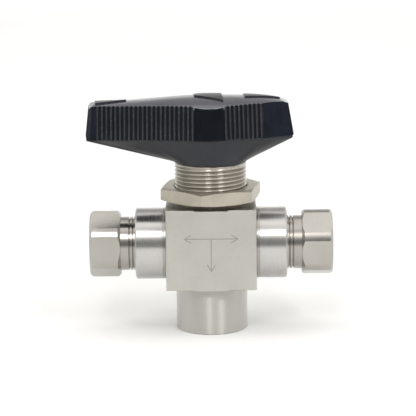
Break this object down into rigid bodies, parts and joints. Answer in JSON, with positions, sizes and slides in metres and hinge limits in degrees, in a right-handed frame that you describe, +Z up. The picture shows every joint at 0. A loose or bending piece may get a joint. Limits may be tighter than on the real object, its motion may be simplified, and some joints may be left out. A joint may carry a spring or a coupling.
{
  "type": "three way ball valve",
  "caption": "Stainless three way ball valve: square block, bottom port and side ports with female pipe ends, threaded panel neck with nut, and a directional black handle.",
  "frame": {"origin": "centre of the bottom port's mouth, which is also the plane the valve stands on", "axes": "+Z up the stem from the bottom port to the handle; +X along the run axis to the right port; -Y the front face. The handle's long arm points to the left port and rests 4.5 degrees towards the front."},
  "size_m": [0.0762, 0.0322, 0.0738],
  "materials": {
    "body_steel": "satin, machined bar stock",
    "connector_steel": "fine turned",
    "nut_steel": "satin, slightly warm",
    "stem_steel": "fine ground",
    "spring_steel": "smooth strip",
    "screw_steel": "black oxide",
    "handle_nylon": "moulded, semi-gloss",
    "insert_brass": "turned",
    "seat_plastic": "machined fluoropolymer",
    "bearing_plastic": "machined engineering plastic",
    "packing_plastic": "machined fluoropolymer",
    "elastomer": "moulded"
  },
  "bodies": {
    "valve_body": {"body": "body_steel", "end_connector_left": "connector_steel", "end_connector_right": "connector_steel", "stop_pin": "stem_steel", "lower_trunnion_bearing": "bearing_plastic", "upper_thrust_bearing": "bearing_plastic", "packing_support": "stem_steel", "packing_lower": "packing_plastic", "packing_chevron": "packing_plastic", "packing_upper": "packing_plastic", "packing_gland": "stem_steel", "disc_spring_lower": "spring_steel", "disc_spring_upper": "spring_steel", "packing_bolt": "stem_steel", "seat_left": "seat_plastic", "seat_carrier_left": "stem_steel", "seat_spring_left": "spring_steel", "carrier_o_ring_left": "elastomer", "carrier_backup_ring_left": "packing_plastic", "connector_o_ring_left": "elastomer", "seat_right": "seat_plastic", "seat_carrier_right": "stem_steel", "seat_spring_right": "spring_steel", "carrier_o_ring_right": "elastomer", "carrier_backup_ring_right": "packing_plastic", "connector_o_ring_right": "elastomer"},
    "handle_assembly": {"ball_stem": "stem_steel", "handle": "handle_nylon", "handle_insert": "insert_brass", "set_screw": "screw_steel"},
    "panel_nut": {"panel_nut": "nut_steel"}
  },
  "joints": [
    {"name": "handle_turn", "type": "hinge", "parent": "valve_body", "child": "handle_assembly", "pos_m": [0, 0, 0.0269], "axis": [0, 0, 1], "range_deg": [-4.5, 175.5]},
    {"name": "panel_nut_travel", "type": "slide", "parent": "valve_body", "child": "panel_nut", "axis": [0, 0, 1], "range_m": [-0.0011, 0.0075]}
  ]
}
